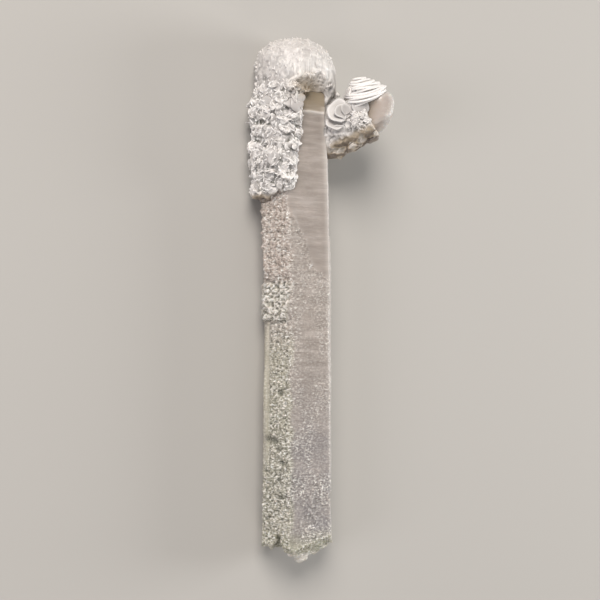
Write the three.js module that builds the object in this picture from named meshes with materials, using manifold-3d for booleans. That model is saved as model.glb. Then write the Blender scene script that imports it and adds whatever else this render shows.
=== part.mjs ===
// A quartz floater: one long quartz crystal that grew loose in its pocket, with a small side crystal grown
// into its flank, and a white crust of curved calcite blades over its tip, one flank and the side crystal.
// Millimetres. +Y runs along the crystal to its tip, +Z is up, and the specimen lies on a prism face.
import * as THREE from "three";
import { mergeVertices } from "three/addons/utils/BufferGeometryUtils.js";
import Module from "manifold-3d";

const wasm = await Module();
wasm.setup();

// Driving dimensions
const overallLength = 180;
const prismDepth = 18.2; // between the top face and the face it lies on
const fitGap = 0.3; // kept between the quartz and the crust that grew on it
const rhombAngle = THREE.MathUtils.degToRad(38.2); // between a prism face and the tip face above it
const crustFoot = 32.6; // where the flank's crust ends, above the specimen's middle
const hoodWaist = 78; // where the hood over the tip starts to round off
const hoodTop = overallLength / 2 - 0.5;
const hoodRadius = 13.4;
const archFoot = 68.7; // where the hood meets the top face, under its arch
const hoodLean = 1.5; // how far the hood's top stands left of the crystal's axis
const crustDepth = 4.2; // the flank crust's thickness under its blades
const bladeThickness = 0.8;

// The specimen was studied from 27 degrees left of straight above, and the side crystal and the marks on the
// faces are placed in that view: across it, along the crystal, and towards the eye.
const viewTilt = THREE.MathUtils.degToRad(27);
const fromView = (across, along, near) =>
  new THREE.Vector3(
    across * Math.cos(viewTilt) - near * Math.sin(viewTilt),
    along,
    across * Math.sin(viewTilt) + near * Math.cos(viewTilt),
  );

// Solids
function solid(geometry) {
  const bare = geometry.clone();
  bare.deleteAttribute("normal");
  bare.deleteAttribute("uv");
  const merged = mergeVertices(bare, 1e-4);
  const vertProperties = new Float32Array(merged.attributes.position.array);
  const triVerts = new Uint32Array(merged.index.array);
  return new wasm.Manifold(new wasm.Mesh({ numProp: 3, vertProperties, triVerts }));
}

function joined(solids) {
  return solids.reduce((sum, next) => sum.add(next));
}

function largestBody(made) {
  return made.decompose().sort((a, b) => b.volume() - a.volume())[0];
}

// Cuts a body clear of its neighbour, which is moved by the gap each way in turn
function clearOf(made, neighbour) {
  const ways = [-fitGap, fitGap].flatMap((gap) => [[gap, 0, 0], [0, gap, 0], [0, 0, gap]]);
  return ways.reduce((left, way) => left.subtract(neighbour.translate(way)), made);
}

function meshOf(name, made, material) {
  const { vertProperties, triVerts } = made.getMesh();
  const geometry = new THREE.BufferGeometry();
  geometry.setAttribute("position", new THREE.BufferAttribute(vertProperties, 3));
  geometry.setIndex(new THREE.BufferAttribute(triVerts, 1));
  geometry.computeVertexNormals();
  const mesh = new THREE.Mesh(geometry, material);
  mesh.name = name;
  return mesh;
}

// A closed skin through rings of points, with a fan from the middle over each end. The points of a ring run
// anticlockwise for an eye that looks back along the rings.
function loft(rings) {
  const count = rings[0].length;
  const points = rings.flat();
  const index = [];
  for (let ring = 0; ring + 1 < rings.length; ring++) {
    for (let i = 0; i < count; i++) {
      const a = ring * count + i;
      const b = ring * count + ((i + 1) % count);
      index.push(a, b, a + count, b, b + count, a + count);
    }
  }
  for (const [first, turn] of [[0, true], [(rings.length - 1) * count, false]]) {
    const ring = points.slice(first, first + count);
    const middle = ring.reduce((sum, p) => sum.add(p), new THREE.Vector3()).divideScalar(count);
    points.push(middle);
    for (let i = 0; i < count; i++) {
      const edge = [first + i, first + ((i + 1) % count)];
      index.push(points.length - 1, ...(turn ? edge.reverse() : edge));
    }
  }
  return new THREE.BufferGeometry().setFromPoints(points).setIndex(index);
}

// Everything on the outer side of a plane, as a block to cut away.
function beyond(point, normal) {
  const size = 400;
  const block = new THREE.BoxGeometry(size, size, size).translate(0, 0, size / 2);
  const turn = new THREE.Quaternion().setFromUnitVectors(new THREE.Vector3(0, 0, 1), normal);
  return solid(block.applyQuaternion(turn).translate(point.x, point.y, point.z));
}

// A repeatable stream of numbers from 0 to 1, so that the crust grows the same way every time
function numbersFrom(seed) {
  let state = seed;
  return () => {
    state = (state + 0x6d2b79f5) | 0;
    let t = Math.imul(state ^ (state >>> 15), 1 | state);
    t = (t + Math.imul(t ^ (t >>> 7), 61 | t)) ^ t;
    return ((t ^ (t >>> 14)) >>> 0) / 4294967296;
  };
}

const { lerp, smoothstep, degToRad, radToDeg } = THREE.MathUtils;

// A value that runs straight between the points of a short outline of [along, value] pairs
function along(outline, y) {
  const next = outline.findIndex(([at]) => at >= y);
  if (next === 0) return outline[0][1];
  if (next < 0) return outline.at(-1)[1];
  const [y0, v0] = outline[next - 1];
  const [y1, v1] = outline[next];
  return lerp(v0, v1, (y - y0) / (y1 - y0));
}

// The main prism: six faces 60 degrees apart, each given by its distance from the crystal's axis.
// Angles are about +Y, from straight up towards +X.
const axisHeight = prismDepth / 2;
const prismFaces = [
  { angle: 0, distance: axisHeight },
  { angle: 60, distance: 11.1 },
  { angle: 120, distance: 11.5 },
  { angle: 180, distance: axisHeight },
  { angle: 240, distance: 11.3 },
  { angle: 300, distance: 11.3 },
];
// How far the left and right edges and the top face stand in from the straight prism, where the growth
// stepped, as [along, inset]
const leftInset = [
  [-83, 0.2], [-30, 0.5], [-15, 1.1], [-6.5, 1.8],
  [-3.8, 1.1], [4.4, 1.6], [11.6, 0.4], [32, 0],
];
const rightInset = [
  [-78, -1.0], [-70, -0.5], [-30, -0.5], [-12, 0],
  [3, -0.5], [19, 0], [38, 0.2], [58, 1.1], [75, 1.8],
];
const topInset = [[-83, 0], [0, 0], [40, 0.3], [75, 1.1]];

// The six distances at a place along the crystal, grown outwards by the gap that a neighbour needs
function faceDistances(y, grow) {
  const insets = [topInset, rightInset, rightInset, null, leftInset, leftInset];
  return prismFaces.map(({ distance }, i) => distance - (insets[i] ? along(insets[i], y) : 0) * 0.87 + grow);
}

function prismRing(y, grow) {
  const distances = faceDistances(y, grow);
  return prismFaces.map(({ angle }, i) => {
    const a = degToRad(angle);
    const b = degToRad(angle + 60);
    const [da, db] = [distances[i], distances[(i + 1) % 6]];
    const x = (da * Math.cos(b) - db * Math.cos(a)) / Math.sin(a - b);
    const z = (db * Math.sin(a) - da * Math.sin(b)) / Math.sin(a - b);
    return new THREE.Vector3(x, y, axisHeight + z);
  });
}

// Distance from the axis to the prism's surface in one direction
function prismRadius(angle, y) {
  const distances = faceDistances(y, 0);
  const reaches = prismFaces.map((face, i) => {
    const lean = Math.cos(degToRad(angle - face.angle));
    return lean > 0.05 ? distances[i] / lean : Infinity;
  });
  return Math.min(...reaches);
}

// Tip faces: each leans over the prism face of the same angle, and starts at its shoulder.
const tipShoulders = [74.5, 77, 74, 76.5, 74, 77.5];

function tipCut(faceIndex, shoulder, grow) {
  const { angle } = prismFaces[faceIndex];
  const out = degToRad(angle);
  const distance = faceDistances(shoulder, 0)[faceIndex];
  const side = new THREE.Vector3(Math.sin(out), 0, Math.cos(out));
  const normal = side.clone().multiplyScalar(Math.cos(rhombAngle)).setY(Math.sin(rhombAngle));
  const point = side.multiplyScalar(distance).add(new THREE.Vector3(0, shoulder, axisHeight));
  return beyond(point.addScaledVector(normal, grow), normal);
}

// The root end: a broad bevel under the top face and rougher faces where the crystal healed after it broke
const rootFaces = [
  { at: fromView(10.4, -81.6, 15.1), normal: [0.19, -0.66, 0.72] },
  { at: fromView(-7.5, -82.8, 12), normal: [-0.5, -0.85, 0.16] },
  { at: new THREE.Vector3(-2, -83.5, 2), normal: [-0.2, -0.78, -0.6] },
  { at: new THREE.Vector3(9, -82.6, 6), normal: [0.6, -0.76, -0.24] },
  { at: new THREE.Vector3(0, -87.6, 9), normal: [0.05, -1, 0.05] },
];

// Small points that cluster on the healed root: [across, along, near, radius, length]
const rootPoints = [
  [5.7, -86.6, 10.8, 2.5, 3.4],
  [1.2, -83.4, 11.4, 2.8, 3.2],
  [-3.6, -81.6, 11.8, 2.6, 3.0],
  [10.8, -80.8, 9.6, 2.6, 3.2],
  [3.5, -84.2, 7.6, 2.8, 3.2],
  [9.5, -81.8, 5.4, 2.6, 3.2],
  [-1.5, -82.4, 6.6, 2.6, 3.2],
];

function smallPoint([across, alongIt, near, radius, length], grow) {
  const profile = [
    [0, -length - grow * 1.6],
    [radius * 0.6 + grow, -length * 0.9],
    [radius + grow, -length * 0.3],
    [radius + grow, 4],
    [0, 4],
  ].map(([r, y]) => new THREE.Vector2(r, y));
  const at = fromView(across, alongIt, near);
  const lean = new THREE.Euler(0.2 * (near > 9 ? 1 : -1), across, -0.03 * (across - 3));
  const point = new THREE.LatheGeometry(profile, 6);
  return solid(point.applyQuaternion(new THREE.Quaternion().setFromEuler(lean)).translate(at.x, at.y, at.z));
}

// The side crystal grows out of the upper right prism face, up and to the right. It is flattened, and its
// broad tip face looks at the eye, with smaller ones round it. Each tip face has the way it faces in the
// view, and a point on it.
const sideRadius = 7.2;
const sideFlattening = 0.86;
const sideRoot = fromView(16.6, 57.6, 6);
const sideTip = fromView(38.2, 68, 11);
const sideAxis = sideTip.clone().sub(sideRoot).normalize();
const sideLength = sideTip.distanceTo(sideRoot);
const sideBuried = 8; // how far its root runs on inside the main crystal
const sideTipFaces = [
  { facing: [0.42, 0.12, 0.9], at: [34, 66, 15.2] },
  { facing: [0.04, 0.97, 0.24], at: [32.5, 71.4, 11] },
  { facing: [0.94, 0.34, 0.1], at: [37.4, 69.4, 11] },
  { facing: [0.98, -0.14, 0.1], at: [37.6, 66, 11] },
  { facing: [0.87, -0.48, 0.08], at: [36.6, 62.6, 11] },
  { facing: [0.62, 0.1, -0.78], at: [35.5, 65, 6.5] },
];

// Turns a shape that stands along +Y to the side crystal's axis, with its +Z towards the eye
function onSideAxis(geometry) {
  const towardsEye = fromView(0, 0, 1).projectOnPlane(sideAxis).normalize();
  const acrossIt = sideAxis.clone().cross(towardsEye);
  geometry.applyMatrix4(new THREE.Matrix4().makeBasis(acrossIt, sideAxis, towardsEye));
  return geometry.translate(sideRoot.x, sideRoot.y, sideRoot.z);
}

function sideCrystal(grow) {
  const radius = sideRadius + grow;
  const stem = new THREE.CylinderGeometry(radius, radius, sideLength + sideBuried, 6);
  stem.rotateY(Math.PI / 2).scale(1, 1, sideFlattening).translate(0, (sideLength - sideBuried) / 2, 0);
  const cuts = sideTipFaces.map(({ facing, at }) => {
    const normal = fromView(...facing).normalize();
    return beyond(fromView(...at).addScaledVector(normal, grow), normal);
  });
  return cuts.reduce((body, cut) => body.subtract(cut), solid(onSideAxis(stem)));
}

// Low terraces where the next layer of quartz stopped growing. Each has its prism face, its rise over it, and
// its outline as [across the face, along the crystal].
const terraces = [
  {
    face: 0,
    rise: 0.3,
    outline: [
      [-6.2, 64], [-5.6, 34], [-4.6, 27.5], [-1.6, 22.4],
      [-0.3, 12.3], [3.2, 7.8], [6.9, 6.3], [6.2, 64],
    ],
  },
  {
    face: 60,
    rise: 0.4,
    outline: [[-3.4, -62], [-1.8, -66], [2.4, -63], [3.6, 10], [1.2, 22], [-2.6, 18]],
  },
  {
    face: 300,
    rise: 0.35,
    outline: [[-4.4, -66], [-2.6, -70], [2.4, -64], [2.0, -34], [-1.2, -30], [-4.0, -36]],
  },
  {
    face: 240,
    rise: 0.4,
    outline: [[-3.0, -56], [-1.8, -62], [2.6, -58], [3.2, 4], [0.8, 10], [-2.6, 6]],
  },
  {
    face: 120,
    rise: 0.4,
    outline: [[-3.2, -36], [-2.0, -42], [2.6, -40], [3.4, 40], [1.6, 48], [-2.8, 44]],
  },
];

function terrace({ face, rise, outline }, grow) {
  const sunk = 2;
  const index = prismFaces.findIndex(({ angle }) => angle === face);
  const height = (y) => faceDistances(y, grow)[index];
  const ring = (lift) => outline.map(([x, y]) => new THREE.Vector3(x, y, height(y) + lift));
  const plate = loft([ring(-sunk), ring(rise)]);
  return solid(plate.rotateY(degToRad(face)).translate(0, 0, axisHeight));
}

function quartz(grow) {
  const stations = [-92, -78, -70, -30, -15, -6.5, -3.8, 4.4, 11.6, 19, 32, 40, 58, 75, 92];
  const prism = solid(loft(stations.map((y) => prismRing(y, grow))));
  const tipCuts = tipShoulders.map((shoulder, i) => tipCut(i, shoulder, grow));
  const rootCuts = rootFaces.map(({ at, normal }) => {
    const out = new THREE.Vector3(...normal).normalize();
    return beyond(at.clone().addScaledVector(out, grow), out);
  });
  const main = [...tipCuts, ...rootCuts].reduce((body, cut) => body.subtract(cut), prism);
  const grown = [main, sideCrystal(grow), ...rootPoints.map((point) => smallPoint(point, grow))];
  const floor = beyond(new THREE.Vector3(0, 0, -grow), new THREE.Vector3(0, 0, -1));
  return joined([...grown, ...terraces.map((one) => terrace(one, grow))]).subtract(floor);
}

// The crust's outer skin, as a distance from the crystal's axis, which never reaches the floor underneath
function aboveFloor(reach, angle) {
  const down = -Math.cos(degToRad(angle));
  return down > 0.3 ? Math.min(reach, (axisHeight - 0.5) / down) : reach;
}

// How far the hood over the tip and the flank's crust reach out at each angle. The hood is fullest towards
// the eye, and low swells run over the flank.
function hoodReach(angle) {
  const toEye = Math.max(0, Math.cos(degToRad(angle + 20)));
  return aboveFloor(hoodRadius + 1.6 * toEye ** 2, angle);
}

function flankReach(angle, y) {
  const swells = 0.5 * Math.sin(y * 0.42) + 0.35 * Math.sin(y * 0.9 + angle * 0.08);
  return aboveFloor(prismRadius(angle, y) + crustDepth + swells, angle);
}

// Where each covers the quartz, from 0 to 1. Over the top face the hood starts high and opens in an arch.
function hoodCover(angle, y) {
  const archTop = 5;
  const fromArch = Math.abs(angle - archTop) / (angle < archTop ? 37 : 33);
  if (fromArch >= 1) return smoothstep(y, angle > 0 ? 66 : 60, angle > 0 ? 69 : 63);
  const lip = lerp(77, 70.2, fromArch ** 1.8);
  const foot = Math.min(lip - 1.5, archFoot);
  return Math.max(0, Math.min(1, (y - foot) / (lip - foot)));
}

function flankCover(angle, y) {
  const rightEdge = lerp(29, 13, smoothstep(y, 38, 66));
  const backEdge = 1 - smoothstep(-angle, 122, 136);
  const foot = crustFoot + 3.4 * smoothstep(angle, -100, -40);
  return smoothstep(-angle, rightEdge - 5, rightEdge + 5) * backEdge * smoothstep(y, foot, foot + 2.6);
}

function crustReach(angle, y) {
  const capped = Math.min(y, hoodWaist);
  const bare = prismRadius(angle, capped) - 1.5;
  const flank = lerp(bare, flankReach(angle, capped), flankCover(angle, capped));
  const hood = lerp(bare, hoodReach(angle), hoodCover(angle, capped));
  const over = Math.max(0, y - hoodWaist) / (hoodTop - hoodWaist);
  const rounding = (1 - Math.min(1, over) ** 2.4) ** (1 / 2.4);
  const settled = lerp(flank, Math.min(flank, hood), smoothstep(y, 66, 79));
  return Math.max(settled, hood) * rounding;
}

function crustPoint(angle, y) {
  const reach = crustReach(angle, y);
  const turn = degToRad(angle);
  const lean = hoodLean * smoothstep(y, 74, hoodTop);
  const skin = new THREE.Vector3(reach * Math.sin(turn), y, axisHeight + reach * Math.cos(turn));
  return skin.add(fromView(-lean, 0, 0));
}

function crustNormal(angle, y) {
  const around = crustPoint(angle + 2, y).sub(crustPoint(angle - 2, y));
  const up = crustPoint(angle, Math.min(y + 0.4, hoodTop - 0.05)).sub(crustPoint(angle, y - 0.4));
  return around.cross(up).normalize();
}

function crustBody() {
  const angles = Array.from({ length: 36 }, (_, i) => i * 10 - 180);
  const flankSteps = Array.from({ length: 13 }, (_, i) => crustFoot - 1 + i * 3.6);
  const hoodSteps = [8, 30, 48, 64, 77, 87].map(
    (turn) => hoodWaist + (hoodTop - hoodWaist) * Math.sin(degToRad(turn)),
  );
  return solid(loft([...flankSteps, ...hoodSteps].map((y) => angles.map((angle) => crustPoint(angle, y)))));
}

// A blade is a thin six-sided plate.
function blade(centre, facing, radius) {
  const plate = new THREE.CylinderGeometry(radius, radius * 0.86, bladeThickness, 6);
  const turn = new THREE.Quaternion().setFromUnitVectors(new THREE.Vector3(0, 1, 0), facing);
  return solid(plate.applyQuaternion(turn).translate(centre.x, centre.y, centre.z));
}

// A rosette is a fan of blades that lean away from each other about one point, each more than half sunk in
// the crust.
function rosette(at, outward, roll, radius, count, random) {
  const sunk = 0.35;
  const sideways = new THREE.Vector3(0, 1, 0).cross(outward);
  if (sideways.lengthSq() < 0.01) sideways.set(1, 0, 0);
  sideways.normalize().applyAxisAngle(outward, roll);
  const across = outward.clone().cross(sideways).normalize();
  return Array.from({ length: count }, (_, i) => {
    const share = count > 1 ? i / (count - 1) - 0.5 : random() - 0.5;
    const facing = sideways.clone().applyAxisAngle(across, share * 1.5 + (random() - 0.5) * 0.4);
    const size = radius * (0.85 + 0.3 * random());
    const centre = at.clone().addScaledVector(sideways, -share * radius * 0.9);
    return blade(centre.addScaledVector(outward, -size * sunk), facing.normalize(), size);
  });
}

// Rosettes stand in rows round the crust, about the same distance apart all over it.
function crustBlades() {
  const random = numbersFrom(7);
  const blades = [];
  const flankRows = Array.from({ length: 8 }, (_, i) => ({ y: 37.2 + i * 4.9, gap: 5.6, size: 2.6 }));
  const hoodRows = [76, 80.4, 84.2, 87.2, 88.8].map((y) => ({ y, gap: 5.2, size: 2.1 }));
  for (const { y, gap, size } of [...flankRows, ...hoodRows]) {
    const spacing = radToDeg(gap / Math.max(2, crustReach(-60, y)));
    for (let angle = -128 + random() * spacing; angle < 128; angle += spacing) {
      const here = angle + (random() - 0.5) * spacing * 0.3;
      const height = Math.min(y + (random() - 0.5) * 1.6, hoodTop - 0.6);
      const thickness = crustReach(here, height) - prismRadius(here, Math.min(height, hoodWaist));
      const roll = random() * Math.PI;
      const count = random() < 0.3 ? 2 : 1;
      if (height < hoodWaist && thickness < 1.4) continue;
      blades.push(...rosette(crustPoint(here, height), crustNormal(here, height), roll, size, count, random));
    }
  }
  return blades;
}

function crust(quartzWithGap) {
  const floor = beyond(new THREE.Vector3(0, 0, fitGap), new THREE.Vector3(0, 0, -1));
  return largestBody(joined([crustBody(), ...crustBlades()]).subtract(quartzWithGap).subtract(floor));
}

// The side crystal's crust: a sleeve round its stem that leaves the tip bare, as [along the stem, radius],
// and stacked shells of blades. Each stack has its place and way of growing in the view, its blade radius,
// how many blades it has and how far apart they are.
const sleeve = [[-7, 7.4], [-1, 8.3], [4, 8.5], [9, 8.4], [14.5, 8.1]];
const bareFrom = [30.6, 62, 11]; // a point where the crust ends and the bare tip begins
const sideStacks = [
  { at: [18.4, 64.4, 11.2], grow: [0.1, 0.25, 1], radius: 3.9, count: 4, step: 0.95 },
  { at: [18.8, 58.6, 12], grow: [0.15, -0.25, 1], radius: 3.6, count: 3, step: 0.95 },
  { at: [24.6, 61.2, 15], grow: [0.1, -0.1, 1], radius: 2.9, count: 2, step: 0.9 },
  { at: [28.2, 58.8, 13.4], grow: [0.4, -0.6, 0.8], radius: 3.1, count: 3, step: 0.9 },
  { at: [29.8, 57.2, 9], grow: [0.5, -0.9, 0.3], radius: 3.6, count: 3, step: 0.9 },
  { at: [23.6, 54.4, 9], grow: [0.3, -0.9, 0.4], radius: 3.6, count: 3, step: 0.9 },
  { at: [18.4, 51.6, 6.8], grow: [0.2, -1, 0.4], radius: 3.4, count: 3, step: 0.9 },
  { at: [27.2, 62.6, 2.4], grow: [0.4, 0.1, -1], radius: 3.8, count: 3, step: 1 },
  { at: [21, 60.4, 0], grow: [0.2, -0.2, -1], radius: 3.6, count: 3, step: 1 },
];

// The fan of blades that caps the side crystal, up to the edge of its bare tip: shells on a mound, each as
// [across, along, radius] in the view
const mound = { at: [27.0, 69.8, 10], size: [7.0, 5.6, 6.2] };
const fanNear = 10;
const fanFacing = fromView(-0.14, 0.96, 0.2).normalize();
const fanShells = [
  [27.0, 69.4, 7.6], [27.5, 70.8, 7.3], [27.9, 72.2, 6.7],
  [27.2, 73.5, 5.5], [26.4, 74.7, 4.1], [25.4, 75.7, 2.4],
];

function sideSleeve() {
  const closed = [[sleeve[0][0], 0], ...sleeve, [sleeve.at(-1)[0], 0]];
  const outline = closed.map(([y, radius]) => new THREE.Vector2(radius, y));
  return solid(onSideAxis(new THREE.LatheGeometry(outline, 12).scale(1, 1, 0.95)));
}

// The room that the bare tip stands in: a slanted block over the side crystal's end, wider than the crystal
function bareTip() {
  const facing = fromView(0.93, 0.36, 0.1).normalize();
  return beyond(fromView(...bareFrom), facing);
}

function fan() {
  const place = fromView(...mound.at);
  const lump = new THREE.IcosahedronGeometry(1, 1).scale(...mound.size).rotateY(-viewTilt);
  const shells = fanShells.map(([across, up, radius]) => {
    return blade(fromView(across, up, fanNear), fanFacing, radius);
  });
  return joined([solid(lump.translate(place.x, place.y, place.z)), ...shells]);
}

function sideCrust(quartzWithGap, mainCrust) {
  const shells = sideStacks.flatMap(({ at, grow, radius, count, step }) =>
    Array.from({ length: count }, (_, i) => {
      const facing = fromView(...grow).normalize();
      return blade(fromView(...at).addScaledVector(facing, i * step), facing, radius * (1 - 0.1 * i));
    }),
  );
  const whole = joined([sideSleeve(), ...shells]).subtract(bareTip()).add(fan());
  return largestBody(clearOf(whole.subtract(quartzWithGap), mainCrust));
}

// Materials
const cloudyQuartz = new THREE.MeshStandardMaterial({ color: "#a69d98", roughness: 0.4, metalness: 0 });
const whiteCalcite = new THREE.MeshStandardMaterial({ color: "#e4e0dc", roughness: 0.6, metalness: 0 });

// The specimen, moved so that the middle of its footprint is the origin
const quartzWithGap = quartz(fitGap);
const mainCrust = crust(quartzWithGap);
const specimen = new THREE.Group();
specimen.add(meshOf("quartz_crystal", quartz(0), cloudyQuartz));
specimen.add(meshOf("bladed_crust", mainCrust, whiteCalcite));
specimen.add(meshOf("side_crust", sideCrust(quartzWithGap, mainCrust), whiteCalcite));
const bounds = new THREE.Box3().setFromObject(specimen);
const centre = bounds.getCenter(new THREE.Vector3());
specimen.position.set(-centre.x, -centre.y, -bounds.min.z);

export default specimen;
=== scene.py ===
# %% [markdown]
# # A quartz floater with a crust of calcite blades
#
# A floater is a quartz crystal that grew loose in its pocket, so it has no broken base: both of its ends are
# grown. This one has a small side crystal, and later on calcite grew over its tip as a white crust of thin
# curved blades. The frame gives the true size and place of each piece, and this file gives each its surface.

import itertools
import math

import bpy
import numpy as np
from mathutils import Matrix, Vector
from mathutils.bvhtree import BVHTree


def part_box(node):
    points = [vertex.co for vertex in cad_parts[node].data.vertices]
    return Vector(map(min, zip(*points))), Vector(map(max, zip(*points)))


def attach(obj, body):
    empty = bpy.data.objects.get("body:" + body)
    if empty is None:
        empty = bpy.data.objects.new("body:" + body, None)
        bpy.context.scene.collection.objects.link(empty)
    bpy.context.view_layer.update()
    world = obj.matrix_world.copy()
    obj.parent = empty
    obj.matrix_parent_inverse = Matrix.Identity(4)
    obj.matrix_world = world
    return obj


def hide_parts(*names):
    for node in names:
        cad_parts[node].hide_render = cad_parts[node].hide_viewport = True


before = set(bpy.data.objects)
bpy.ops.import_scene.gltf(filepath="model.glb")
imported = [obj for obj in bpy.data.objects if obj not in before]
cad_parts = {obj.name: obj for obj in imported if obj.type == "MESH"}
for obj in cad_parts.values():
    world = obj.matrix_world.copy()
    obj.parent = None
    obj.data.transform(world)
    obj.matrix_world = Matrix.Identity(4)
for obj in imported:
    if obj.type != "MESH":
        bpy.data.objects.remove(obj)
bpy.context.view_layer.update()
print("frame nodes:", sorted(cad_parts))

# %% [markdown]
# ## Working in the crystal's own millimetres
#
# A crystal is easiest to describe from its axis, in millimetres: along it, across it, and towards the eye.
# The photograph looks at the crystal from 27 degrees left of straight above, so places on it are given in
# that view. One function turns them to the crystal's own axes, and another moves finished points into the
# frame.

# %% The crystal's own axes, and the view's
MM = 0.001  # one millimetre in the frame's metres
VIEW_TILT = math.radians(27)
LEFT_EDGE = 13.05  # how far the prism's left edge is from its axis
ROOT_END = 90.0  # how far the lowest small point of the root is from the middle

quartz_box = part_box("quartz_crystal")
SHIFT = np.array([quartz_box[0][0] / MM + LEFT_EDGE, quartz_box[0][1] / MM + ROOT_END, 0.0])

VIEW_RIGHT = np.array([math.cos(VIEW_TILT), 0, math.sin(VIEW_TILT)])
VIEW_UP = np.array([0.0, 1.0, 0.0])
VIEW_NEAR = np.array([-math.sin(VIEW_TILT), 0, math.cos(VIEW_TILT)])


def from_view(across, along, near):
    """A place or direction given in the view, in the crystal's own axes."""
    return across * VIEW_RIGHT + along * VIEW_UP + near * VIEW_NEAR


def to_frame(points):
    """Points from the crystal's own millimetres to the frame's metres."""
    return (np.asarray(points) + SHIFT) * MM


def smoothstep(value, low, high):
    """0 at `low`, 1 at `high` and a smooth rise between them. `high` may be the smaller one."""
    t = np.clip((value - low) / (high - low), 0, 1)
    return t * t * (3 - 2 * t)


print("crystal axis stands at", np.round(SHIFT, 3), "mm in the frame")

# %% [markdown]
# ## Camera, floor and light
#
# The specimen lies on a pale floor, and the camera looks down on it at the photograph's angle. The
# photograph is lit from beyond the crystal's tip, so the undersides of the crust fall into shade. One wide
# soft lamp does the same here. A weaker one on the left keeps the narrow face as light as the wide one, one
# on the right draws the bright line along the prism's right edge, one beyond the root lights the undersides
# a little, and the pale sky fills the rest.

# %% Camera
CAMERA_REACH = 400.0  # from the lens to the plane that the view is measured in
CAMERA_PLANE = 13.0  # how near to the eye that plane is
CAMERA_ACROSS = 5.29  # what is in the middle of the picture, across the crystal
LENS = 70.3
SENSOR_WIDTH = 36

scene = bpy.context.scene
camera = bpy.data.objects.new("camera", bpy.data.cameras.new("camera"))
camera.data.lens = LENS
camera.data.sensor_width = SENSOR_WIDTH
camera.data.clip_start = 0.01
eye = to_frame(from_view(CAMERA_ACROSS, 0, CAMERA_PLANE + CAMERA_REACH))
turn = Matrix((VIEW_RIGHT, VIEW_UP, VIEW_NEAR)).transposed()
camera.matrix_world = Matrix.Translation(eye) @ turn.to_4x4()
scene.collection.objects.link(camera)
scene.camera = camera
print("camera stands at", [round(c, 3) for c in eye])


# %% Floor and lamps
def linear(code):
    """An sRGB hex colour as the linear values that the shaders take."""
    parts = [int(code[i : i + 2], 16) / 255 for i in (1, 3, 5)]
    return tuple(c / 12.92 if c <= 0.04045 else ((c + 0.055) / 1.055) ** 2.4 for c in parts) + (1.0,)


def node(tree, kind, inputs=None, **settings):
    """Adds one node: `inputs` maps a socket's name or number to a value or to the socket that feeds it."""
    made = tree.nodes.new(kind)
    for key, value in settings.items():
        setattr(made, key, value)
    for key, value in (inputs or {}).items():
        if isinstance(value, bpy.types.NodeSocket):
            tree.links.new(value, made.inputs[key])
        else:
            made.inputs[key].default_value = value
    return made


def lamp(name, place, target, size, watts, colour):
    """A round soft lamp at one place, turned to another. Both, and its size, are in metres."""
    data = bpy.data.lights.new(name, "AREA")
    data.shape = "DISK"
    data.size = size
    data.energy = watts
    data.color = linear(colour)[:3]
    made = bpy.data.objects.new(name, data)
    made.location = place
    made.rotation_euler = (Vector(target) - Vector(place)).to_track_quat("-Z", "Y").to_euler()
    scene.collection.objects.link(made)


FLOOR_HALF = 3.0  # metres, so the floor's edges are far out of the picture
floor_mesh = bpy.data.meshes.new("floor")
floor_corners = [(FLOOR_HALF * x, FLOOR_HALF * y, 0) for x, y in ((-1, -1), (1, -1), (1, 1), (-1, 1))]
floor_mesh.from_pydata(floor_corners, [], [(0, 1, 2, 3)])
floor = bpy.data.objects.new("floor", floor_mesh)
scene.collection.objects.link(floor)
board = bpy.data.materials.new("matt painted board")
board.use_nodes = True
board.node_tree.nodes["Principled BSDF"].inputs["Base Color"].default_value = linear("#b5b2ad")
board.node_tree.nodes["Principled BSDF"].inputs["Roughness"].default_value = 0.85
floor_mesh.materials.append(board)

LAMPS = [
    ("key_lamp", (-0.42, 0.82, 0.95), (0, 0.02, 0), 0.75, 16.6, "#fff9f3"),
    ("left_lamp", (-0.9, -0.1, 0.45), (0, 0, 0.01), 0.4, 2.6, "#fbf8ff"),
    ("edge_lamp", (0.8, 0.0, 0.26), (0, 0, 0.01), 0.35, 4.5, "#ffffff"),
    ("root_lamp", (0.1, -0.9, 0.35), (0, 0, 0.01), 0.5, 2.2, "#fff6ec"),
]
for settings in LAMPS:
    lamp(*settings)
sky = bpy.data.worlds.new("pale sky")
sky.use_nodes = True
sky.node_tree.nodes["Background"].inputs["Color"].default_value = linear("#e9ecef")
sky.node_tree.nodes["Background"].inputs["Strength"].default_value = 0.26
scene.world = sky
scene.view_settings.view_transform = "Standard"
print(len(LAMPS), "lamps over a floor of", 2 * FLOOR_HALF, "m")


# %% [markdown]
# ## Roughness as real shape
#
# Growth leaves hillocks, ledges and pits on a crystal. They are moved into the mesh rather than painted on,
# so they also show at the outline. A value noise gives smooth random heights: random numbers sit on a grid,
# and the heights between them are blended. A cell that is long across the prism and short along it gives the
# cross striations that quartz prisms always have.

# %% Random heights
def noise(points, cell, seed=0):
    """Smooth random values from 0 to 1 in space, on a grid with cells of this many millimetres. Large primes
    and shifts scatter the numbers of neighbouring cells."""
    grid = np.asarray(points) / np.asarray(cell, float)
    low = np.floor(grid).astype(np.int64)
    t = grid - low
    t = t * t * (3 - 2 * t)
    total = np.zeros(len(grid))
    for corner in itertools.product((0, 1), repeat=3):
        at = low + corner
        key = (at[:, 0] * 73856093) ^ (at[:, 1] * 19349663) ^ (at[:, 2] * 83492791) ^ (seed * 40503)
        key = ((key ^ (key >> 13)) & 0xFFFFFFFF) * 1274126177
        value = ((key ^ (key >> 16)) & 0xFFFF) / 65535
        total += value * np.prod(np.where(corner, t, 1 - t), axis=1)
    return total


def ridges(points, cell, seed=0):
    """Noise folded so that it runs along sharp crests, from 0 to 1."""
    return 1 - np.abs(2 * noise(points, cell, seed) - 1)


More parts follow.
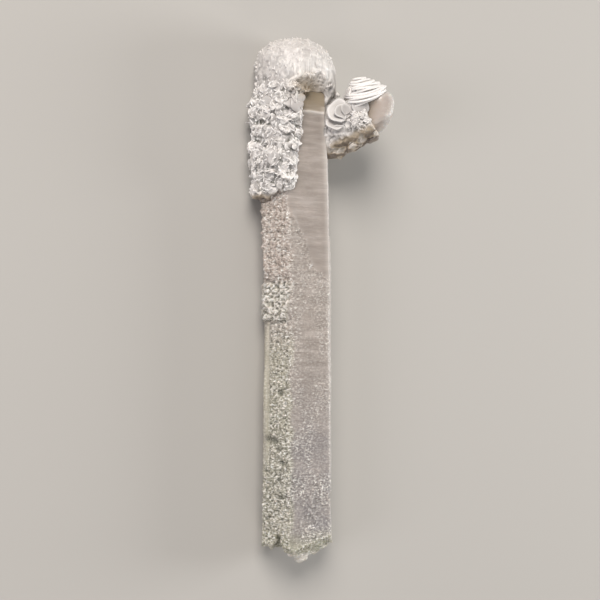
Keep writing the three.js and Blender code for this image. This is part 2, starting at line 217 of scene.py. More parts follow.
def remeshed(source, name, voxel_mm, smoothing=0):
    """A copy of a frame node's mesh, rebuilt from small even faces."""
    piece = bpy.data.objects.new(name, source.data.copy())
    scene.collection.objects.link(piece)
    remesh = piece.modifiers.new("even faces", "REMESH")
    remesh.mode = "VOXEL"
    remesh.voxel_size = voxel_mm * MM
    if smoothing:
        soften = piece.modifiers.new("soften", "SMOOTH")
        soften.iterations = smoothing
        soften.factor = 0.5
    finished = piece.evaluated_get(bpy.context.evaluated_depsgraph_get())
    piece.data = bpy.data.meshes.new_from_object(finished)
    piece.data.name = name
    piece.modifiers.clear()
    return piece


def points_of(piece):
    """A piece's points in the crystal's own millimetres, and its normals."""
    count = len(piece.data.vertices)
    points = np.empty(count * 3)
    normals = np.empty(count * 3)
    piece.data.vertices.foreach_get("co", points)
    piece.data.vertices.foreach_get("normal", normals)
    return points.reshape(-1, 3) / MM - SHIFT, normals.reshape(-1, 3)


def place_points(piece, points):
    """Writes points back, none of them lower than the floor."""
    lifted = np.array(points)
    lifted[:, 2] = np.maximum(lifted[:, 2], 0)
    piece.data.vertices.foreach_set("co", to_frame(lifted).ravel())
    piece.data.update()


def paint(piece, name, values):
    """Keeps one value from 0 to 1 at each point, for the materials to read."""
    layer = piece.data.attributes.new(name, "FLOAT", "POINT")
    layer.data.foreach_set("value", np.clip(values, 0, 1).astype(np.float32))


def smoothed(piece, values, times):
    """Values averaged with those of the neighbouring points, over and over."""
    edges = np.empty(len(piece.data.edges) * 2, int)
    piece.data.edges.foreach_get("vertices", edges)
    here, there = edges[::2], edges[1::2]
    columns = np.array(values, float).reshape(len(values), -1)
    degree = np.bincount(edges, minlength=len(columns))
    for _ in range(times):
        for column in columns.T:
            total = np.bincount(here, column[there], len(column))
            total += np.bincount(there, column[here], len(column))
            column[:] = total / degree
    return columns.reshape(np.shape(values))


def standing_out(piece, reach):
    """How far each point stands out of the surface around it, in millimetres. Hollows are negative."""
    points, normals = points_of(piece)
    return np.sum((points - smoothed(piece, points, reach)) * normals, axis=1)


def finish_piece(piece, material, node_name):
    """Gives a piece its material, puts it in the place of the frame's node and counts its triangles."""
    piece.data.materials.clear()
    piece.data.materials.append(material)
    piece.data.shade_smooth()
    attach(piece, "root")
    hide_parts(node_name)
    piece.data.calc_loop_triangles()
    print(piece.name, len(piece.data.loop_triangles), "triangles")


# %% [markdown]
# ## The quartz crystal
#
# The frame's crystal has the true faces, edges and ledges. Here its mesh is rebuilt from even faces of 0.42
# mm and each point is moved along its normal by what grew there. The wide face is smooth on its upper right,
# with fine cross striations. Left of a slanting growth line it is covered in low flat hillocks, and towards
# the root it is sugary. The narrow face is rougher all over, with pits where chlorite sat. So the cells
# below first find which part of the crystal each point is on, as a share from 0 to 1, and then add up the
# heights that grow there.

# %% Quartz faces
QUARTZ_FACE_SIZE = 0.42
quartz = remeshed(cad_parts["quartz_crystal"], "grown_quartz", QUARTZ_FACE_SIZE)
place, normal = points_of(quartz)

# The side crystal's bare end was dissolved a little and has no sharp edges left, so it is softened
bare_end = smoothstep(place @ VIEW_RIGHT, 26, 29) * smoothstep(place[:, 1], 45, 47)
place += (smoothed(quartz, place, 9) - place) * bare_end[:, None]

across = place @ VIEW_RIGHT
along = place[:, 1]
near = place @ VIEW_NEAR

WIDE_FACE = np.array([0.0, 0.0, 1.0])
on_wide = smoothstep(normal @ WIDE_FACE, 0.75, 0.95) * (across < 16.4)
on_root = smoothstep(-normal[:, 1], 0.3, 0.5) * smoothstep(-along, 76, 79)
out_on_side = smoothstep(across, 16.2, 17.2) * smoothstep(along, 45, 47)
print(len(place), "points, of which", int(on_wide.sum()), "on the wide face")

# %% Growth line
# The line where the smooth upper right of the wide face ends: across, and how far along it runs there
GROWTH_LINE = np.array([
    (0.4, 60.0), (0.9, 31.0), (3.9, 26.3), (6.0, 21.9), (8.0, 17.5), (9.0, 12.8), (11.4, 9.4), (14.8, 6.7),
])
jitter = 3.0 * (noise(place, (2.4, 2.0, 2.4), 8) - 0.5)
line_height = np.interp(across, GROWTH_LINE[:, 0], GROWTH_LINE[:, 1])
smooth_part = on_wide * smoothstep(along + jitter - line_height, -0.8, 0.8)
by_growth_line = np.exp(-(((along + 3 - line_height) / 5) ** 2))

# The frame has this growth line as a plain step. It is levelled to the face, which sinks a little to the
# tip, and a lower, ragged one takes its place.
TOP_FACE = 18.2  # the wide face's height over the floor
face_height = TOP_FACE - 0.87 * np.interp(along, (0, 40, 75), (0, 0.3, 1.1))
levelled = on_wide * (near > 10) * (np.abs(place[:, 2] - face_height) < 0.5)
place[:, 2] += levelled * (face_height - place[:, 2])
print(int(levelled.sum()), "points levelled")

# %% Rough and smooth parts
# How rough the surface is on each side of the ridge between the two visible faces
RIDGE_ACROSS = 1.3
past_ridge = across - RIDGE_ACROSS - 3.0 * (noise(place, (3, 5, 3), 9) - 0.35)
roughest = smoothstep(-past_ridge, -1.5, 1.0)
rough_band = roughest * smoothstep(along, -8, -6) * smoothstep(-along, -6.5, -5)
in_lower_half = smoothstep(-along, 4, 20)
towards_root = smoothstep(-along, 10, 66)
knob = smoothstep(-along, 85.5, 87)
patches = smoothstep(noise(place, (5, 7, 5), 14), 0.4, 0.62)
mottled = 0.5 + 0.5 * smoothstep(noise(place, (6, 8, 6), 16), 0.3, 0.65)
mottled += (1 - mottled) * np.maximum(roughest, by_growth_line)

# A smooth strip with fine upright lines runs along the prism's left edge, and a notch splits the root
strip_length = smoothstep(-along, 6.5, 8.5) * smoothstep(along, -62, -52) * (near > 2)
left_strip = smoothstep(-across, 4.5, 5.3) * strip_length
strip_side = np.exp(-(((across + 4.8) / 0.3) ** 2)) * strip_length
strip_lines = ridges(place, (0.7, 60, 0.7), 17)
notch_reach = 0.3 * (-77.6 - along) - np.abs(across + 2.2 + 0.1 * (along + 82))
notch = (near > 7) * smoothstep(notch_reach, 0, 0.5) * smoothstep(-along, 78, 79.5)

# %% Heights over the faces
striae = noise(place, (9, 0.8, 9), 1) - 0.5
hillocks = ridges(place, (1.9, 0.85, 1.9), 2) - 0.5
sugar = noise(place, (0.8, 0.75, 0.8), 3) - 0.5
grains = ridges(place, (1.3, 1.0, 1.3), 10) - 0.5
coarse = ridges(place, (2.4, 2.0, 2.4), 4) - 0.5
swell = noise(place, (9, 14, 9), 5) - 0.5

lift = 0.04 * striae + 0.2 * swell * (1 - levelled) + 0.08 * smooth_part
lift += (1 - smooth_part) * mottled * (0.26 * hillocks * (1 - 0.7 * towards_root) + 0.26 * sugar)
lift += roughest * (0.24 * hillocks * (1 - in_lower_half) + 0.36 * grains + 0.25 * sugar)
lift += rough_band * (0.8 * coarse + 0.8 * grains + 0.2)
lift += roughest * smoothstep(-along, 40, 52) * 0.4 * coarse
lift += on_wide * smoothstep(-along, 45, 62) * patches * (0.3 * smoothstep(grains, 0.0, 0.4))
lift += (on_root + 0.4 * smoothstep(-along, 78, 82)) * (0.5 * coarse + 0.4 * grains + 0.3 * sugar)
lift += np.exp(-(((along + jitter - line_height) / 0.6) ** 2)) * on_wide * 0.18 * (hillocks > 0)
lift *= 1 - 0.85 * out_on_side
lift *= 1 - 0.75 * left_strip
lift += left_strip * 0.3 * (strip_lines - 0.5) - 2.2 * notch

# %% Ledges, pits and knobs
# Low ledges across the wide face: how far along each is, and its rise
LEDGES = [(64.0, 0.28), (53.6, 0.1), (52.2, 0.08), (-12.8, 0.1), (-15.0, 0.12), (41.0, 0.06)]
wavy = along + 0.7 * (noise(place, (5, 50, 5), 6) - 0.5)
for ledge_along, rise in LEDGES:
    lift += on_wide * rise * np.exp(-(((wavy - ledge_along) / 0.45) ** 2))

# Pits and knobs: across, along, how far each reaches, and its height, which is below 0 in a pit
PITS_AND_KNOBS = [
    (-1.5, -31.4, 1.1, -0.9), (-5.6, -47.2, 1.3, -0.8), (-3.4, -47.9, 1.4, -0.9), (-1.9, -50.6, 0.8, -0.6),
    (-0.6, -55.4, 1.3, -0.8), (-1.6, -60.2, 0.9, -0.6), (-1.2, -66.5, 1.0, -0.5), (-3.8, -56.8, 1.3, 0.5),
    (-7.6, 30.4, 0.6, 0.8), (-7.6, 26.7, 0.6, 0.6), (-7.5, 22.9, 0.6, 0.7), (-7.4, 18.0, 0.5, 0.4),
    (8.4, 11.5, 0.7, 0.45), (7.0, 20.5, 0.5, 0.3), (5.9, 22.6, 0.5, 0.3), (4.4, 23.6, 0.5, 0.3),
]
# Painted shade in the pits and in the root's notch, which the material darkens
pit_shade = 0.9 * notch
for spot_across, spot_along, reach, height in PITS_AND_KNOBS:
    away = np.hypot(across - spot_across, along - spot_along)
    spot = (near > 8) * np.exp(-((away / reach) ** 2))
    lift += height * spot
    pit_shade += spot * (height < 0)

place_points(quartz, place + normal * lift[:, None])
print("quartz surface moved by", np.round(lift.min(), 2), "to", np.round(lift.max(), 2), "mm")

# %% Crests, edges and rims
crest = standing_out(quartz, 3)
broad_crest = standing_out(quartz, 10)
ledge_line = on_wide * np.exp(-(((along + 0.15 * jitter - 63.9) / 0.4) ** 2))

# The prism's right edge and the side crystal's bare end: along, and how far across the edge is there
RIGHT_EDGE = np.array([(-70, 16.7), (-34, 16.2), (0, 15.9), (34, 15.2), (70, 13.5)])
TIP_EDGE = np.array([(57.7, 33.3), (60.4, 35.3), (64.5, 36.9), (67.2, 37.7), (70.3, 36.9), (73, 35.0)])
right_edge = np.interp(along, RIGHT_EDGE[:, 0], RIGHT_EDGE[:, 1])
edge_line = smoothstep(across - right_edge, -2.2, 0) * (near > 4) * (1 - out_on_side) * (along < 66)
tip_edge = np.interp(along, TIP_EDGE[:, 0], TIP_EDGE[:, 1])
tip_rim = out_on_side * smoothstep(across - tip_edge, -2.4, -0.8)
tip_rim *= 0.4 + 0.6 * noise(place, (1.2, 1.2, 1.2), 18)
tip_inside = out_on_side * smoothstep(across - tip_edge, -3.5, -8.5)

# %% Green, warm and pale parts
blotches = noise(place, (4, 6, 4), 7)
chlorite = roughest * in_lower_half * (0.45 + 0.55 * blotches) + 0.35 * rough_band
chlorite += on_root * 0.75 + 0.5 * smoothstep(-along, 77, 81)
chlorite += on_wide * smoothstep(-along, 30, 60) * smoothstep(-across, -5, 0) * 0.35
chlorite += (1 - on_wide) * (1 - roughest) * smoothstep(-along, 0, 60) * 0.4 * blotches
paint(quartz, "chlorite", chlorite * (1 - 0.6 * left_strip) * (1 - 0.6 * knob))
paint(quartz, "warmth", roughest * smoothstep(along, 2, 10))
pale = 0.8 * on_root + 0.35 * roughest * in_lower_half + 0.35 * rough_band + 0.5 * smoothstep(-along, 80, 84)
paint(quartz, "pale", pale + left_strip * (0.7 * strip_lines - 0.2))
# Painted shade under the hood, over the wide face above its ledge and inside the side crystal's bare end
hood_shade = on_wide * smoothstep(along, 63.2, 64.2) * (0.6 + 0.4 * smoothstep(along, 64, 70))
paint(quartz, "hood_shade", hood_shade + 0.6 * tip_inside)
paint(quartz, "towards_root", towards_root)
paint(quartz, "clear", out_on_side)

# %% Painted highlights, painted shade and sugar
# Painted highlights lie on rims, crests and edges, painted shade darkens the pits, hollows and the root's
# notch, and white sugar lies on the crests
# Painted highlights on the side crystal's crests, the ledge line, the prism's right edge, the tip's rim, the
# band's crests and the knob
painted_highlight = 0.35 * out_on_side * smoothstep(broad_crest, 0.05, 0.2) + 0.75 * ledge_line + 0.3 * edge_line
painted_highlight += 0.75 * tip_rim + 0.75 * rough_band * smoothstep(crest, 0.05, 0.2) + 0.45 * knob
paint(quartz, "painted_highlight", painted_highlight)
pitted = 0.35 + 0.4 * roughest + 1.0 * rough_band + on_root * 0.3 + 0.3 * roughest * in_lower_half
pitted += 0.8 * roughest * smoothstep(-along, 50, 66)
# Painted shade: darker in the hollows and pits, along the strip's side, and more so towards the root
hollow_shade = smoothstep(-crest, 0.015, 0.1) * pitted * (1 - smooth_part) * (1 - out_on_side) * (1 - left_strip)
hollow_shade += pit_shade * (0.7 + 0.3 * smoothstep(-crest, -0.05, 0.05)) + 0.4 * strip_side
hollow_shade += 0.4 * roughest * smoothstep(-along, 52, 68) * smoothstep(-crest, -0.03, 0.06)
paint(quartz, "hollow_shade", hollow_shade)
sugary = mottled * (0.4 + 0.3 * towards_root) + 0.25 * roughest + 0.5 * rough_band + 0.5 * on_root
sugary *= (1 - 0.9 * smooth_part) * (1 - out_on_side) * (1 - 0.6 * left_strip)
sugary *= 1 - 0.85 * np.clip(pit_shade, 0, 1)
# Sugar near the side crystal's rim, which also carries the painted glints there
sugary += 0.5 * out_on_side * smoothstep(across - tip_edge, -5, -0.5)
paint(quartz, "sugar", sugary * (0.6 - 0.2 * rough_band + smoothstep(crest, 0.0, 0.08)))
print("mean chlorite and dirt:", np.round([chlorite.mean(), hollow_shade.mean()], 2))

# %% [markdown]
# ## Cloudy quartz
#
# Quartz is silica with an index of refraction of 1.544. This crystal is full of fine veils, so light goes
# in, scatters and comes out beige: it is part see-through and part milky. Plain transmission gives the first
# and subsurface scattering the second. Chlorite stains it green, from the root and the narrow face upwards.

# %% Cloudy quartz material
# Millimetres. Real striae and sugar grains are finer: these are as fine as the render can show.
STRIA_SPACING = 0.45
BAND_WIDTH = 1.7
GRAIN = 0.5
FINE_SUGAR = 0.55
FINEST_SUGAR = 0.4
# The cell size of the painted glints
GLINT_CELL = 0.8
VEIL = 9
QUARTZ_INDEX = 1.544


def material_tree(name):
    made = bpy.data.materials.new(name)
    made.use_nodes = True
    tree = made.node_tree
    return made, tree, tree.nodes["Principled BSDF"]


def painted(tree, name):
    return node(tree, "ShaderNodeAttribute", attribute_name=name).outputs["Fac"]


def blend_colour(tree, factor, first, second):
    """A Mix node for colours: `first` and `second` are hex codes or sockets."""
    sides = [linear(side) if isinstance(side, str) else side for side in (first, second)]
    inputs = {0: factor, 6: sides[0], 7: sides[1]}
    return node(tree, "ShaderNodeMix", inputs, data_type="RGBA").outputs[2]


def per_metre(millimetres):
    """The scale that gives a texture this cell size, on a model in metres."""
    return 1 / (millimetres * MM)


def ramp(tree, value, low, high, top=1.0, bottom=0.0):
    """A value from `bottom` to `top` while the input goes from `low` to `high`."""
    ends = {"Value": value, "From Min": low, "From Max": high, "To Min": bottom, "To Max": top}
    return node(tree, "ShaderNodeMapRange", ends).outputs["Result"]


def product(tree, first, second):
    return node(tree, "ShaderNodeMath", {0: first, 1: second}, operation="MULTIPLY").outputs[0]


def texture(tree, where, millimetres, detail=2):
    cells = {"Vector": where, "Scale": per_metre(millimetres), "Detail": detail}
    return node(tree, "ShaderNodeTexNoise", cells).outputs["Fac"]


def quartz_material():
    made, tree, shader = material_tree("cloudy quartz, natural growth surface")
    where = node(tree, "ShaderNodeTexCoord").outputs["Object"]
    cross = node(tree, "ShaderNodeMapping", {"Vector": where, "Scale": (0.12, 1.0, 0.12)}).outputs["Vector"]
    flattened = node(tree, "ShaderNodeMapping", {"Vector": where, "Scale": (0.6, 1.0, 0.6)}).outputs["Vector"]
    cloud = texture(tree, where, VEIL, 3)
    lines = texture(tree, cross, STRIA_SPACING)
    bands = texture(tree, cross, BAND_WIDTH, 3)
    fine = texture(tree, flattened, FINE_SUGAR)
    finest = texture(tree, where, FINEST_SUGAR)
    # Painted glints: a few near-white points on the sugary parts
    glints = texture(tree, where, GLINT_CELL, 0)
    grains_here = {"Vector": where, "Scale": per_metre(GRAIN)}
    cells = node(tree, "ShaderNodeTexVoronoi", grains_here).outputs["Distance"]

    sugar = painted(tree, "sugar")
    clear = painted(tree, "clear")
    towards_root_end = painted(tree, "towards_root")
    streaky = ramp(tree, cloud, 0.4, 0.62, 0.22, 0.05)
    band_share = ramp(tree, towards_root_end, 0.0, 0.6, 0.1, 0.33)
    # How much of each colour lies over the ones before it: warm stain, veils, striae and bands, each light
    # and dark, the pale root, chlorite, grey between the sugar grains, painted shade in the hollows and pits,
    # sugar, the clear end, painted glints, painted shade under the hood, and painted highlights on rims and
    # edges
    coats = [
        (product(tree, painted(tree, "warmth"), 0.7), "#c6b3a6"),
        (ramp(tree, cloud, 0.35, 0.7, 0.45), "#bcb1a9"),
        (product(tree, ramp(tree, lines, 0.5, 0.68), streaky), "#d8cfc8"),
        (product(tree, ramp(tree, lines, 0.45, 0.3), streaky), "#7d746d"),
        (product(tree, band_share, ramp(tree, bands, 0.52, 0.68)), "#d3cac3"),
        (product(tree, band_share, ramp(tree, bands, 0.48, 0.34)), "#887e76"),
        (painted(tree, "pale"), "#cdc8b4"),
        (product(tree, painted(tree, "chlorite"), ramp(tree, fine, 0.3, 0.7, 0.85, 0.35)), "#a1a184"),
        (product(tree, product(tree, sugar, ramp(tree, fine, 0.46, 0.34)), 0.7), "#6f6963"),
        (product(tree, painted(tree, "hollow_shade"), ramp(tree, finest, 0.35, 0.6, 1.0, 0.3)), "#45463a"),
        (product(tree, sugar, ramp(tree, fine, 0.49, 0.6)), "#ebe6de"),
        (product(tree, clear, ramp(tree, cloud, 0.35, 0.65, 1.0, 0.7)), "#d6c9c0"),
        (product(tree, sugar, ramp(tree, glints, 0.68, 0.74)), "#fbf8f2"),
        (painted(tree, "hood_shade"), "#a3947d"),
        (painted(tree, "painted_highlight"), "#fbf6f0"),
    ]
    body = blend_colour(tree, towards_root_end, "#a1978f", "#8b8686")
    for share, colour in coats:
        body = blend_colour(tree, share, body, colour)
    tree.links.new(body, shader.inputs["Base Color"])

    bump = node(tree, "ShaderNodeBump", {"Height": lines, "Strength": 0.5, "Distance": 0.1 * MM})
    bump = node(tree, "ShaderNodeBump", {
        "Height": cells, "Strength": sugar, "Distance": 0.25 * MM, "Normal": bump.outputs["Normal"],
    })
    tree.links.new(bump.outputs["Normal"], shader.inputs["Normal"])
    tree.links.new(ramp(tree, clear, 0, 1, 0.35, 0.12), shader.inputs["Transmission Weight"])
    tree.links.new(ramp(tree, clear, 0, 1, 0.2, 0.42), shader.inputs["Roughness"])
    shader.inputs["IOR"].default_value = QUARTZ_INDEX
    shader.inputs["Subsurface Weight"].default_value = 0.2
    shader.inputs["Subsurface Radius"].default_value = (1.0, 0.8, 0.65)
    shader.inputs["Subsurface Scale"].default_value = 1.2 * MM
    return made


finish_piece(quartz, quartz_material(), "quartz_crystal")

# %% [markdown]
# ## A curved blade
#
# Calcite of this habit grows as thin plates that are dished, a little twisted, and round at the rim. One
# blade is a disc of rings: a centre, two rings, the rim, and the same again underneath. All the blades of a
# crust are made at once, as one array of points, because a loop over each would be slow.

# %% Blade meshes
SPOKES = 12  # how many sides a blade's outline has, which is more on the large shells
RIM_ROUND = 0.12  # how much of a blade's radius its rounded rim takes
OVER_FLOOR = 0.05  # millimetres that blades are kept over the floor
# Shells less ragged than this carry the painted rim highlight all round
EVEN_SHELL = 0.1  # shells less ragged than this are even discs, and their rims are white all round


def blade_rows(rim_round=RIM_ROUND):
    """The rows of one blade, each as (share of the radius, share of the half thickness)."""
    flat_part = [0.5, 1 - rim_round]
    top = [(share, 1.0) for share in flat_part]
    return top + [(1.0, 0.0)] + [(share, -1.0) for share in reversed(flat_part)]


def blade_faces(spokes):
    """The faces of one blade: fans at the two centres, and bands between the rows."""
    faces = []
    rows = len(blade_rows())
    for spoke in range(spokes):
        after = (spoke + 1) % spokes
        faces.append((rows * spokes, spoke, after))
        last = (rows - 1) * spokes
        faces.append((rows * spokes + 1, last + after, last + spoke))
        for row in range(rows - 1):
            a, b = row * spokes + spoke, row * spokes + after
            faces.append((a, a + spokes, b + spokes))
            faces.append((a, b + spokes, b))
    return np.array(faces)


def blade_points(centres, facings, radii, thickness, dish, ragged, rim_round, spokes, rng):
    """Points of many blades, and how near each point is to its blade's rim. `ragged` is how far the outlines
    stray from round."""
    count = len(centres)
    turn = np.arange(spokes) * 2 * math.pi / spokes
    phase = rng.uniform(0, 2 * math.pi, (4, count, 1))
    outline = 1 + ragged * (0.9 * np.cos(2 * turn + phase[0]) + 0.7 * np.cos(3 * turn + phase[1]))
    outline += 0.5 * ragged * np.cos(5 * turn + phase[2])
    wave = ragged * np.cos(2 * turn + phase[3])
    side = np.cross(facings, rng.normal(size=(count, 3)))
    side /= np.linalg.norm(side, axis=1, keepdims=True)
    other = np.cross(facings, side)
    flat_parts, rises, rims = [], [], []
    for share, thick in blade_rows(rim_round):
        flat_parts.append(share * outline)
        half = thick * thickness[:, None] / radii[:, None] / 2
        rises.append((dish[:, None] + wave) * share**2 + half)
        rims.append(np.full((count, spokes), share))
    flat = np.concatenate(flat_parts, axis=1) * radii[:, None]
    rise = np.concatenate(rises, axis=1) * radii[:, None]
    angle = np.tile(turn, len(rims))
    ring_points = (
        centres[:, None]
        + side[:, None] * (flat * np.cos(angle))[..., None]
        + other[:, None] * (flat * np.sin(angle))[..., None]
        + facings[:, None] * rise[..., None]
    )
    middles = [centres + facings * (sign * thickness / 2)[:, None] for sign in (1, -1)]
    points = np.concatenate([ring_points, np.stack(middles, axis=1)], axis=1)
    rim = np.concatenate(rims + [np.zeros((count, 2))], axis=1)
    return points, rim


def blades_piece(
    name, centres, facings, radii, thickness, dish, outward, rng,
    face=0.5, ragged=0.18, rim_round=RIM_ROUND, white=1.0, spokes=SPOKES,
):
    """One mesh of many blades. `outward` is each blade's way out of the crust, for the painted shade in its
    hollows.
    `face` is how light a blade's middle is, and `white` how strong the painted highlight on its rim is."""
    points, rim = blade_points(centres, facings, radii, thickness, dish, ragged, rim_round, spokes, rng)
    count, size = points.shape[:2]
    faces = (blade_faces(spokes)[None] + (np.arange(count) * size)[:, None, None]).reshape(-1, 3)
    mesh = bpy.data.meshes.new(name)
    flat_points = points.reshape(-1, 3).copy()
    flat_points[:, 2] = np.maximum(flat_points[:, 2], OVER_FLOOR)
    mesh.from_pydata(to_frame(flat_points), [], faces)
    piece = bpy.data.objects.new(name, mesh)
    scene.collection.objects.link(piece)
    height = np.einsum("bij,bj->bi", points - centres[:, None], outward) / radii[:, None]
    # Painted highlight on the rims, only on an uneven shell's outer side
    outer_side = smoothstep(height, -0.1, 0.5) if ragged > EVEN_SHELL else 1.0
    paint(piece, "rim", (white * rim * outer_side).ravel())
    # Painted shade and light: a blade is darker towards the crust and lighter where it stands out
    paint(piece, "height", (face + 0.45 * height).ravel())
    paint(piece, "stain", stain_at(flat_points))
    return piece


# %% [markdown]
# ## Where scales and blades grow
#
# The frame's crust is rebuilt from even faces and softened, which leaves it as the lumpy body that the
# calcite grows out of. Places are drawn at random over its outer skin and dropped if they come too close to
# one that is already taken, so that the crust is covered evenly but without any rows.

# %% Places on a crust
INNER_SKIN = 1.0  # what is nearer to the quartz than this is the crust's inside, where nothing grows
quartz_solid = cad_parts["quartz_crystal"]
quartz_tree = BVHTree.FromPolygons(
    [v.co for v in quartz_solid.data.vertices], [p.vertices for p in quartz_solid.data.polygons],
)


def to_quartz(points):
    """The nearest place on the quartz to each point, and how far off it is, in millimetres."""
    found = [quartz_tree.find_nearest(p) for p in to_frame(points)]
    nearest = np.array([hit[0] for hit in found]) / MM - SHIFT
    return nearest, np.array([hit[3] for hit in found]) / MM


def sites_on(piece, spacing, allowed, seed, tries=24000):
    """Random places on a piece's outer skin, at least `spacing` apart, with the normals there. `allowed`
    takes places and normals, and says where blades may grow."""
    mesh = piece.data
    mesh.calc_loop_triangles()
    corners = np.empty(len(mesh.loop_triangles) * 3, int)
    mesh.loop_triangles.foreach_get("vertices", corners)
    corners = corners.reshape(-1, 3)
    points, normals = points_of(piece)
    triangles = points[corners]
    centres = triangles.mean(axis=1)
    first_side, second_side = triangles[:, 1] - triangles[:, 0], triangles[:, 2] - triangles[:, 0]
    area = np.linalg.norm(np.cross(first_side, second_side), axis=1)
    area *= allowed(centres, normals[corners[:, 0]])
    rng = np.random.default_rng(seed)
    chosen = rng.choice(len(corners), tries, p=area / area.sum())
    weights = rng.dirichlet((1, 1, 1), tries)
    spots = np.einsum("ij,ijk->ik", weights, triangles[chosen])
    ways = normals[corners[chosen]].mean(axis=1)
    ways /= np.linalg.norm(ways, axis=1, keepdims=True)
    kept = []
    taken = np.full((tries, 3), 1e6)
    for i, spot in enumerate(spots):
        if np.all(np.sum((taken[: len(kept)] - spot) ** 2, axis=1) > spacing**2):
            taken[len(kept)] = spot
            kept.append(i)
    spots, ways = spots[kept], ways[kept]
    outside = to_quartz(spots)[1] > INNER_SKIN
    return spots[outside], ways[outside]


def across_of(points):
    return points @ VIEW_RIGHT


def stain_at(points):
    """Brown-beige stain on the undersides: in the arch, under the flank and under the side crust."""
    across_it = across_of(points)
    from_arch = ((across_it - 8.0) / 4.6) ** 2 + ((points[:, 1] - 71.5) / 3.2) ** 2
    arch = np.exp(-from_arch) * (points[:, 2] > 15)
    foot = smoothstep(-points[:, 1], -36.4, -33.6) * (across_it < 3)
    under_side = smoothstep(across_it, 12, 14) * smoothstep(-points[:, 1] + 0.45 * across_it, -48, -43)
    under_side *= 0.24 + 0.74 * smoothstep(noise(points, (1.9, 1.9, 1.9), 19), 0.33, 0.56)
    return np.clip(0.6 * arch + foot + under_side, 0, 1)


# %% [markdown]
# ## Scales
#
# Most blades lie on the crust like the scales of a fish: each is hinged at one side and rises to its free
# rim, where it drops off. The crust takes the highest scale at each point, so the scales overlap as the real
# ones do, and each point keeps how near it is to a free rim. The hood's scales are low, and the flank's are
# larger and stand out two or three times as far.

# %% Scaly crust bodies
HOOD_START = 71.0  # how far along the crystal the hood begins
FOOT_END = 36.2  # and where the flank's brown foot, which has no scales, ends


def along_ways(ways, wanted, rng, spread):
    """Directions in the surface that point roughly the wanted way."""
    rough = np.asarray(wanted) + spread * rng.normal(size=(len(ways), 3))
    rough -= ways * np.sum(rough * ways, axis=1, keepdims=True)
    return rough / np.linalg.norm(rough, axis=1, keepdims=True)


def scale_heights(points, spots, ways, rising, radii, lifts, rng):
    """How high the topmost scale stands at each point, and how near its free rim is, from 0 to 1."""
    heights = np.zeros(len(points))
    rims = np.zeros(len(points))
    order = np.argsort(points[:, 1])
    sorted_along = points[order, 1]
    for spot, way, direction, radius, lift in zip(spots, ways, rising, radii, lifts):
        first, last = np.searchsorted(sorted_along, (spot[1] - 1.3 * radius, spot[1] + 1.3 * radius))
        near_by = order[first:last]
        offset = points[near_by] - spot
        near_by = near_by[np.abs(offset @ way) < radius]
        offset = points[near_by] - spot
        forward = offset @ direction / radius
        sideways = offset @ np.cross(way, direction) / radius
        turn = np.arctan2(sideways, forward)
        phase = rng.uniform(0, 6, 2)
        outline = 1 + 0.12 * np.cos(3 * turn + phase[0]) + 0.07 * np.cos(5 * turn + phase[1])
        share = np.hypot(sideways, forward) / outline
        rise = lift * (0.42 + 0.58 * forward) * smoothstep(-share, -1.0, -0.88)
        higher = rise > heights[near_by]
        heights[near_by[higher]] = rise[higher]
        rims[near_by[higher]] = smoothstep(share[higher], 0.6, 0.92) * smoothstep(forward[higher], -0.3, 0.5)
    return heights, rims


def above_floor(spots):
    """What is more than a millimetre over the floor."""
    return spots[:, 2] > 1.0


def in_arch(spots, ways):
    """The underside of the arch over the wide face, which is bare."""
    across_it = across_of(spots)
    return (np.abs(across_it - 8.2) < 5.2) & (spots[:, 1] < 76) & (ways[:, 1] < -0.15) & (spots[:, 2] > 12)


def by_arch(spots):
    """The drapery-like leg of the hood at the right of the arch, which has no scales."""
    return (across_of(spots) > 11.5) & (spots[:, 1] < 79) & (spots @ VIEW_NEAR > 5)


def on_hood(spots, ways):
    return above_floor(spots) & (spots[:, 1] > HOOD_START) & ~in_arch(spots, ways) & ~by_arch(spots)


def on_flank(spots, ways):
    along_flank = (spots[:, 1] <= HOOD_START + 2) & (spots[:, 1] > FOOT_END) & (ways[:, 1] > -0.7)
    return above_floor(spots) & along_flank & ~in_arch(spots, ways) & ~by_arch(spots)


def left_flank(spots, ways):
    return on_flank(spots, ways) & (across_of(spots) < -5.5)


def under_fan(spots):
    """The top of the side crust, which the fan of shells covers."""
    return (spots[:, 1] > 68.2) & (spots @ VIEW_NEAR > 5)


def on_side(spots, ways):
    return above_floor(spots) & ~under_fan(spots)


LEFT_DOWN = -0.5 * VIEW_RIGHT - 0.85 * VIEW_UP  # where the scales' free rims point
CRUST_FACE_SIZE = 0.32

# Each layer of scales: where it grows, the spacing, the least and greatest radius, the lift, and its seed
HOOD_LAYERS = [
    (on_hood, 2.0, (1.3, 2.3), 0.38, 31),
    (on_hood, 0.8, (0.5, 0.75), 0.2, 32),
]
FLANK_LAYERS = [
    (on_flank, 2.1, (1.8, 2.8), 0.95, 33),
    (left_flank, 2.6, (2.0, 3.0), 1.1, 34),
    (on_flank, 1.3, (0.8, 1.4), 0.7, 35),
]
SIDE_LAYERS = [
    (on_side, 1.9, (1.2, 1.8), 0.8, 36),
    (on_side, 1.1, (0.5, 0.9), 0.65, 37),
]


